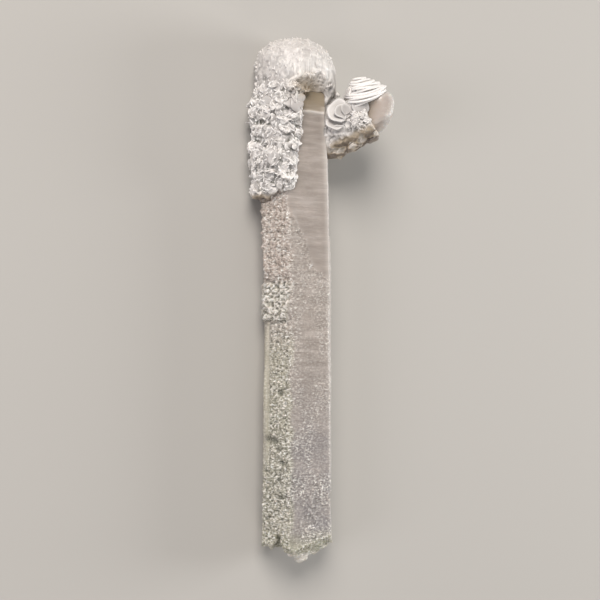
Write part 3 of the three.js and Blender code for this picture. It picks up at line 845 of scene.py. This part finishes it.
def crust_body(node_name, piece_name, layers):
    """A crust's body: the frame's crust rebuilt and softened, with layers of scales and small lumps on it."""
    piece = remeshed(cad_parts[node_name], piece_name, CRUST_FACE_SIZE, smoothing=16)
    points, normals = points_of(piece)
    # The hood is a smooth dome apart from its arch, so the frame's plates are smoothed away on it
    smooth_dome = smoothstep(points[:, 1], 69, 74) * (node_name == "bladed_crust")
    away_from_arch = np.hypot((across_of(points) - 9.5) / 7.5, (points[:, 1] - 71) / 5.5)
    smooth_dome *= np.where(points @ VIEW_NEAR > 8, smoothstep(away_from_arch, 0.8, 1.2), 1)
    points += (smoothed(piece, points, 60) - points) * smooth_dome[:, None]
    normals = smoothed(piece, normals, 16)
    normals /= np.linalg.norm(normals, axis=1, keepdims=True)
    heights = np.zeros(len(points))
    rims = np.zeros(len(points))
    for allowed, spacing, (least, greatest), lift, seed in layers:
        rng = np.random.default_rng(seed)
        spots, ways = sites_on(piece, spacing, allowed, seed)
        rising = along_ways(ways, LEFT_DOWN, rng, 0.7)
        radii = rng.uniform(least, greatest, len(spots))
        layer_heights, layer_rims = scale_heights(
            points, spots, ways, rising, radii, lift * rng.uniform(0.6, 1.2, len(spots)), rng,
        )
        rims = np.where(layer_heights > heights, layer_rims, rims)
        heights = np.maximum(heights, layer_heights)
        print(piece_name, len(spots), "scales")
    heights = smoothed(piece, heights, 1)
    below_hood = smoothstep(-points[:, 1], -78, -70)
    lumps = 0.35 * (noise(points, (3.2, 3.2, 3.2), 11) - 0.5)
    lumps += 0.12 * (ridges(points, (1.1, 1.1, 1.1), 12) - 0.5)
    lumps -= 0.6 * below_hood * smoothstep(noise(points, (2.6, 2.6, 2.6), 15), 0.58, 0.8)
    streaks = 0.6 * (ridges(points, (0.8, 8, 0.8), 13) - 0.5) * np.exp(-(((points[:, 1] - 73.5) / 5) ** 2))
    nearest, distance = to_quartz(points)
    skin = smoothstep(distance, 0.5, 1.2)
    drawn_in = 0.35 + 0.5 * smoothstep(-across_of(points), 4, 8)
    outwards = heights - drawn_in * below_hood + lumps + streaks * (across_of(points) > 3)
    placed = points + normals * (outwards * skin)[:, None]
    # The real crust grew on the quartz, so the frame's gap is closed by sinking the crust's inside into it
    sunk = (nearest - points) * (1 + 0.3 / np.maximum(distance, 0.1))[:, None]
    placed += sunk * (1 - smoothstep(distance, 0.45, 0.9))[:, None]
    # Over the wide face the crust ends in a straight line, so the arch's two corners are lifted to it
    over_wide_face = (placed @ VIEW_NEAR > 12) * (node_name == "bladed_crust")
    for corner_across, widest in [(5.2, 2.0), (12.6, 1.3)]:
        from_corner = ((across_of(placed) - corner_across) / widest) ** 2 + ((placed[:, 1] - 68.3) / 2.2) ** 2
        placed[:, 1] += 1.9 * np.exp(-from_corner) * over_wide_face
    place_points(piece, placed)
    # Painted shade and light: darker in the hollows, lighter where the crust stands out and over the hood,
    # and painted light under the arch
    out = 1.3 * standing_out(piece, 4) + 0.8 * standing_out(piece, 24)
    # Painted highlight on the scales' free rims, weaker over the hood
    paint(piece, "rim", rims * skin * (0.35 + 0.65 * below_hood))
    arch_light = 0.5 * np.exp(-(((across_of(points) - 10) / 6) ** 2) - ((points[:, 1] - 74) / 4) ** 2)
    height = 0.44 + out * (1.0 + 0.1 * below_hood) + 0.16 * smoothstep(points[:, 1], 71, 79) + arch_light
    # The side crust is painted darker where it is stained
    darker_where_stained = stain_at(points) * (node_name == "side_crust")
    paint(piece, "height", height - 0.85 * darker_where_stained)
    paint(piece, "stain", stain_at(points))
    return piece


crust_base = crust_body("bladed_crust", "crust_body", HOOD_LAYERS + FLANK_LAYERS)
side_base = crust_body("side_crust", "side_crust_body", SIDE_LAYERS)

# %% [markdown]
# ## Standing blades
#
# Between the scales some blades stand up. Over the tip they are packed side by side, sunk almost to their
# rims and all standing nearly the same way, so they only make fine ridges. Down the flank they are smaller,
# stand out by half and lean every way. The smallest make a white tangle on the side crystal.

# %% Standing blades
def grown_blades(
    name, base, spacing, allowed, size, thick, stand, seed,
    common=None, sunk=0.5, face=0.5, white=1.0,
):
    """Blades over part of a crust. `stand` is how they stand: 0 degrees lies flat, 90 stands on edge.
    `common` is the way they all lean, and `sunk` how much of its radius a blade's middle is in the crust."""
    rng = np.random.default_rng(seed)
    spots, ways = sites_on(base, spacing, allowed, seed)
    count = len(spots)
    wanted = rng.normal(size=(count, 3)) if common is None else common
    sideways = along_ways(ways, wanted, rng, 0.35)
    lean = np.radians(rng.uniform(stand[0], stand[1], count))[:, None]
    facings = ways * np.cos(lean) + sideways * np.sin(lean)
    radii = rng.uniform(*size, count)
    buried = sunk * radii * np.sin(lean[:, 0])
    centres = spots - ways * buried[:, None]
    thickness = np.full(count, thick) * rng.uniform(0.8, 1.25, count)
    dish = rng.uniform(-0.3, 0.1, count)
    print(name, count, "blades")
    return blades_piece(name, centres, facings, radii, thickness, dish, ways, rng, face, white=white)


TANGLE = (26.2, 61.4)  # the middle of the tangle of fine blades on the side crystal: across, along


def in_tangle(spots, ways):
    away = np.hypot((across_of(spots) - TANGLE[0]) / 4.4, (spots[:, 1] - TANGLE[1]) / 3.4)
    return (away < 1) & (spots @ VIEW_NEAR > 9)


hood_blades = grown_blades(
    "hood_blades", crust_base, 1.05, on_hood, (1.1, 2.0), 0.34, (45, 90), 21,
    common=VIEW_RIGHT, sunk=0.93, face=0.45, white=0.6,
)
flank_blades = grown_blades(
    "flank_blades", crust_base, 1.25, on_flank, (0.7, 1.35), 0.28, (30, 80), 22, sunk=0.55, face=0.6,
)
side_blades = grown_blades(
    "side_blades", side_base, 0.75, in_tangle, (0.5, 0.95), 0.22, (40, 85), 23, sunk=0.4, face=0.65,
)

# %% [markdown]
# ## Large plates and stacked shells
#
# The largest plates lie singly on the flank's crust, most of them by the arch. The calcite on the side
# crystal grew as stacks: each shell lies on the last one, a little smaller, and the cap over the tip is a
# fan of them.

# %% Plates and stacks
SHELL_SPOKES = 28
PLATE_THICKNESS = 0.4
SHELL_THICKNESS = 0.5  # in a stack
DISC_THICKNESS = 0.24  # of a shell that lies by itself

# Each plate: its place across and along, the way it faces in the view, its radius, and its dish
PLATES = [
    ((4.7, 67.7), (0.55, 0.45, 1), 2.5, -0.15),
    ((4.2, 65.5), (0.5, 0.2, 1), 2.6, -0.15),
    ((3.2, 63.4), (0.4, -0.1, 1), 2.4, -0.15),
    ((1.6, 66.6), (0.15, 0.5, 1), 2.7, -0.1),
    ((-1.2, 69.6), (0.1, 0.6, 1), 2.8, -0.1),
    ((-2.6, 61.4), (-0.1, -0.4, 1), 2.4, 0.12),
    ((-5.8, 66.2), (-0.5, -0.1, 1), 2.4, 0.1),
    ((1.0, 50.5), (0.2, -0.3, 1), 2.0, 0.1),
    ((-3.5, 47.2), (-0.2, -0.3, 1), 2.2, 0.1),
]

# Each stack: its place, the way it grows, its first radius, the count of shells, their step and their dish
STACKS = [
    ((17.5, 60.9, 14.6), (0.0, 0.3, 1), 3.5, 1, 0.7, 0.1),
    ((18.1, 63.9, 15.0), (0.15, 0.15, 1), 4.0, 1, 0.7, 0.14),
    ((19.7, 64.1, 15.4), (0.3, 0.05, 1), 2.9, 1, 0.7, 0.2),
    ((20.7, 64.4, 15.9), (0.35, 0.0, 1), 1.8, 1, 0.7, 0.25),
    ((18.3, 57.5, 14.6), (0.0, -0.7, 0.7), 2.4, 1, 0.7, 0.1),
    ((23.2, 65.6, 15.2), (-0.1, 0.1, 1), 2.6, 1, 0.7, -0.15),
    ((25.7, 66.2, 16.2), (0.05, 0.1, 1), 3.0, 1, 0.7, -0.15),
    ((29.8, 57.2, 9.0), (0.5, -0.9, 0.3), 2.6, 4, 0.8, -0.1),
    ((26.2, 55.4, 8.0), (0.4, -0.9, 0.3), 2.2, 3, 0.7, -0.1),
    ((23.0, 54.0, 9.4), (0.3, -0.9, 0.4), 2.7, 4, 0.8, -0.1),
    ((19.6, 52.6, 6.4), (0.2, -1, 0.4), 2.4, 4, 0.8, -0.1),
    ((16.9, 51.3, 8.0), (0.1, -1, 0.4), 2.1, 3, 0.7, -0.1),
    ((27.2, 62.6, 2.6), (0.4, 0.1, -1), 2.8, 4, 0.8, -0.15),
    ((23.9, 59.6, 1.6), (0.3, -0.1, -1), 2.4, 3, 0.7, -0.1),
    ((21.0, 62.2, 0.4), (0.2, -0.2, -1), 2.7, 4, 0.8, -0.15),
]


def surface_near(piece, across_it, along_it):
    """How near to the eye a piece's surface comes at one place in the view."""
    points = points_of(piece)[0]
    away = np.hypot(across_of(points) - across_it, points[:, 1] - along_it)
    return np.median((points @ VIEW_NEAR)[(away < 0.7) & (points @ VIEW_NEAR > 10)])


def single_plates():
    rng = np.random.default_rng(25)
    ways = np.array([from_view(*facing) for _, facing, _, _ in PLATES])
    ways /= np.linalg.norm(ways, axis=1, keepdims=True)
    centres = np.array([from_view(*at, surface_near(crust_base, *at) + 0.15) for at, _, _, _ in PLATES])
    radii = np.array([radius for _, _, radius, _ in PLATES])
    dishes = np.array([dish for _, _, _, dish in PLATES])
    thickness = np.full(len(PLATES), PLATE_THICKNESS)
    made = (centres, ways, radii, thickness, dishes, ways)
    return blades_piece("single_plates", *made, rng, ragged=0.12, white=0.8, spokes=SHELL_SPOKES)


def stacked_shells():
    rng = np.random.default_rng(24)
    centres, facings, radii, dishes, thicknesses = [], [], [], [], []
    for at, grows, radius, count, step, dish in STACKS:
        way = from_view(*grows)
        way /= np.linalg.norm(way)
        for i in range(count):
            facing = way + 0.06 * rng.normal(size=3)
            facings.append(facing / np.linalg.norm(facing))
            centres.append(from_view(*at) + way * i * step + 0.2 * rng.normal(size=3))
            radii.append(radius * (1 - 0.07 * i))
            dishes.append(dish + 0.03 * rng.normal())
            thicknesses.append(SHELL_THICKNESS if count > 1 else DISC_THICKNESS)
    made = [np.array(rows) for rows in (centres, facings, radii, thicknesses, dishes, facings)]
    return blades_piece("stacked_shells", *made, rng, face=0.5, ragged=0.09, white=0.85, spokes=SHELL_SPOKES)


# The fan's outline as the middle and radius of its shells at each height in the view
FAN_OUTLINE = np.array([
    (69.2, 26.9, 7.3), (70.6, 27.2, 7.4), (72.0, 27.6, 7.0), (73.4, 27.3, 6.1),
    (74.7, 26.8, 4.9), (75.7, 25.9, 3.4), (76.5, 25.3, 1.8),
])
FAN_STEP = 0.64
FAN_NEAR = 10.7
FAN_THICKNESS = 0.62


def fan_shells():
    rng = np.random.default_rng(26)
    heights = np.arange(FAN_OUTLINE[0, 0], FAN_OUTLINE[-1, 0], FAN_STEP)
    middles = np.interp(heights, FAN_OUTLINE[:, 0], FAN_OUTLINE[:, 1])
    radii = np.interp(heights, FAN_OUTLINE[:, 0], FAN_OUTLINE[:, 2])
    share = np.linspace(0, 1, len(heights))
    centres = np.array([from_view(u, v, FAN_NEAR) for u, v in zip(middles, heights)])
    ways = np.array([from_view(-0.34 + 0.2 * s, 0.96, 0.32 - 0.1 * s) for s in share])
    ways /= np.linalg.norm(ways, axis=1, keepdims=True)
    radii *= 1 + 0.03 * rng.normal(size=len(heights))
    dishes = np.full(len(heights), -0.1)
    thickness = np.full(len(heights), FAN_THICKNESS)
    made = (centres, ways, radii, thickness, dishes, ways)
    return blades_piece(
        "fan_shells", *made, rng, face=0.75, ragged=0.045, rim_round=0.035, spokes=SHELL_SPOKES,
    )


plates = single_plates()
shells = stacked_shells()
fan = fan_shells()
print(len(PLATES), "plates and", len(STACKS), "stacks")

# %% [markdown]
# ## White calcite
#
# Calcite is a soft white carbonate, index about 1.6, here with a satin sheen. Thin rims let light through and
# are painted whitest, as a painted highlight, and the hollows between the blades are painted grey-green, as
# painted shade. Each point of the crust carries how near it is to a rim and how far it stands out, and the
# painted light and shade follow both.

# %% White calcite material
CALCITE_INDEX = 1.6
CALCITE_GRAIN = 0.6  # millimetres


def calcite_material():
    made, tree, shader = material_tree("white calcite, bladed growth")
    where = node(tree, "ShaderNodeTexCoord").outputs["Object"]
    cloud = texture(tree, where, 5, 3)
    fine = texture(tree, where, CALCITE_GRAIN)
    height = painted(tree, "height")
    # Painted shade: dark grey-green where the crust lies low in a hollow, near white where it stands out
    body = blend_colour(tree, ramp(tree, height, 0.0, 0.42), "#64645d", "#aeaaa7")
    body = blend_colour(tree, ramp(tree, height, 0.42, 0.95), body, "#ebe7e2")
    body = blend_colour(tree, ramp(tree, cloud, 0.4, 0.7, 0.3), body, "#bfb6b3")
    # Painted highlight on the rims
    body = blend_colour(tree, ramp(tree, painted(tree, "rim"), 0.6, 1.0, 0.85), body, "#f7f4f1")
    stain = painted(tree, "stain")
    stained = blend_colour(tree, ramp(tree, stain, 0.6, 1.0), "#b5a48c", "#68594c")
    streaked = product(tree, ramp(tree, stain, 0.0, 0.6), ramp(tree, fine, 0.3, 0.7, 1.0, 0.74))
    body = blend_colour(tree, streaked, body, stained)
    tree.links.new(body, shader.inputs["Base Color"])
    bump = node(tree, "ShaderNodeBump", {"Height": fine, "Strength": 0.35, "Distance": 0.12 * MM})
    tree.links.new(bump.outputs["Normal"], shader.inputs["Normal"])
    shader.inputs["Roughness"].default_value = 0.42
    shader.inputs["IOR"].default_value = CALCITE_INDEX
    shader.inputs["Subsurface Weight"].default_value = 0.15
    shader.inputs["Subsurface Radius"].default_value = (1.0, 0.9, 0.8)
    shader.inputs["Subsurface Scale"].default_value = 0.6 * MM
    return made


calcite = calcite_material()
for piece in (crust_base, hood_blades, flank_blades, plates):
    finish_piece(piece, calcite, "bladed_crust")
for piece in (side_base, side_blades, shells, fan):
    finish_piece(piece, calcite, "side_crust")
